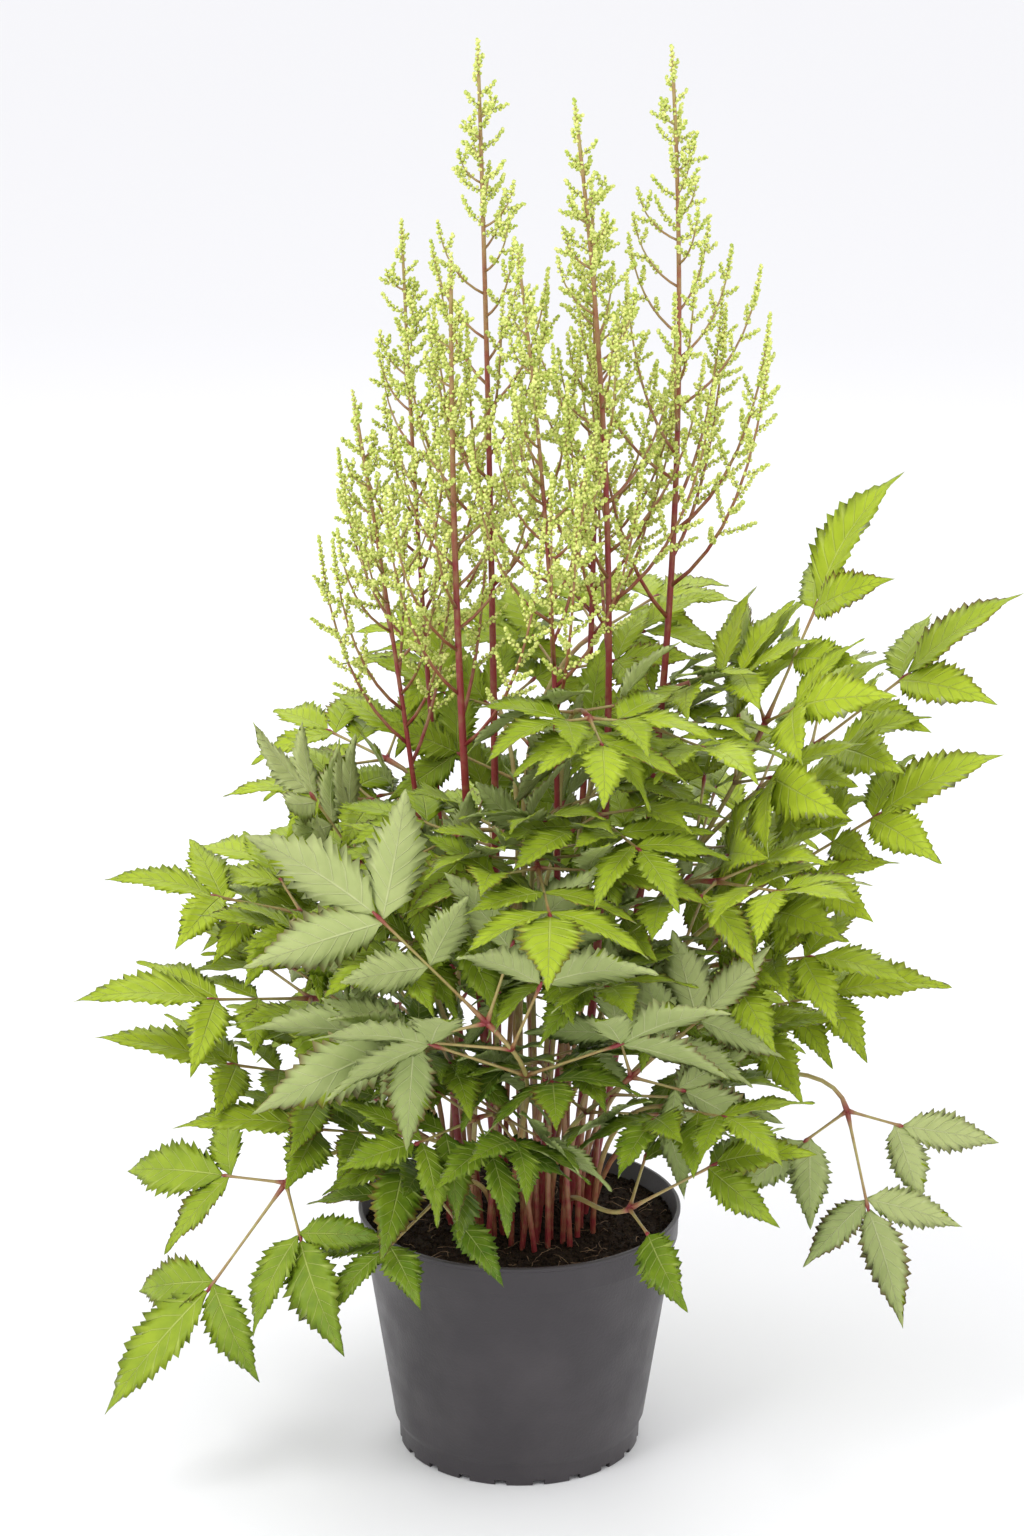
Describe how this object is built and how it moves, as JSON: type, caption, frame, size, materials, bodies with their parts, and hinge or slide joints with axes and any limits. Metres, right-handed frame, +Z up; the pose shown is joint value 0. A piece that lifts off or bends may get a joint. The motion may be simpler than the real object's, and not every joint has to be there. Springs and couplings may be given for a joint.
{
  "type": "potted astilbe plant",
  "caption": "Budding astilbe with plumed panicles on upright red stems over toothed compound leaves, growing in peat in a round dark plastic nursery pot",
  "frame": {"origin": "Middle of the pot's underside, on the flat pad that the pot rests on.", "axes": "+Z is up along the pot's axis. The fuller, lower side of the plant faces -Y, the front. +X is to the right seen from the front."},
  "size_m": [0.5358, 0.4754, 0.824],
  "materials": {
    "pot_plastic": "dark charcoal thermoformed plastic, satin, slightly dusty",
    "peat": "moist fibrous peat, crumbled on top",
    "buds_and_stem": "tight yellow-green buds on a crimson stem, soft sheen",
    "foliage": "fresh green leaf, satin above and paler below"
  },
  "bodies": {
    "root": {"pot": "pot_plastic", "peat": "peat", "panicle_1": "buds_and_stem", "panicle_2": "buds_and_stem", "panicle_3": "buds_and_stem", "panicle_4": "buds_and_stem", "panicle_5": "buds_and_stem", "panicle_6": "buds_and_stem", "panicle_7": "buds_and_stem", "panicle_8": "buds_and_stem", "leaf_front_left_rising": "foliage", "leaf_front_right_rising": "foliage", "leaf_over_peat_right": "foliage", "leaf_over_rim_left": "foliage", "leaf_front_low_left": "foliage", "leaf_left_low": "foliage", "leaf_left_drooping": "foliage", "leaf_right_drooping": "foliage", "leaf_right_low_outer": "foliage", "leaf_left_mid_low": "foliage", "leaf_left_mid": "foliage", "leaf_left_upper": "foliage", "leaf_left_high": "foliage", "leaf_centre_front_high": "foliage", "leaf_centre_front_mid": "foliage", "leaf_centre_left_mid": "foliage", "leaf_centre_right_high": "foliage", "leaf_right_high_upright": "foliage", "leaf_right_high_outer": "foliage", "leaf_right_upper": "foliage", "leaf_right_mid": "foliage", "leaf_right_mid_low": "foliage", "leaf_right_front_low": "foliage", "leaf_back_left_high": "foliage", "leaf_back_centre_top": "foliage", "leaf_back_left_top": "foliage", "leaf_back_left_mid": "foliage", "leaf_back_centre_mid": "foliage", "leaf_back_right_mid": "foliage", "leaf_back_left_low": "foliage", "leaf_back_right_low": "foliage", "leaf_centre_front_left": "foliage", "leaf_centre_front_right": "foliage", "leaf_centre_front_top": "foliage", "leaf_centre_dark_left": "foliage", "leaf_centre_front_low": "foliage", "leaf_left_inner_high": "foliage", "leaf_right_inner_high": "foliage", "leaf_back_inner_low": "foliage", "leaf_back_inner_high": "foliage"}
  },
  "joints": []
}
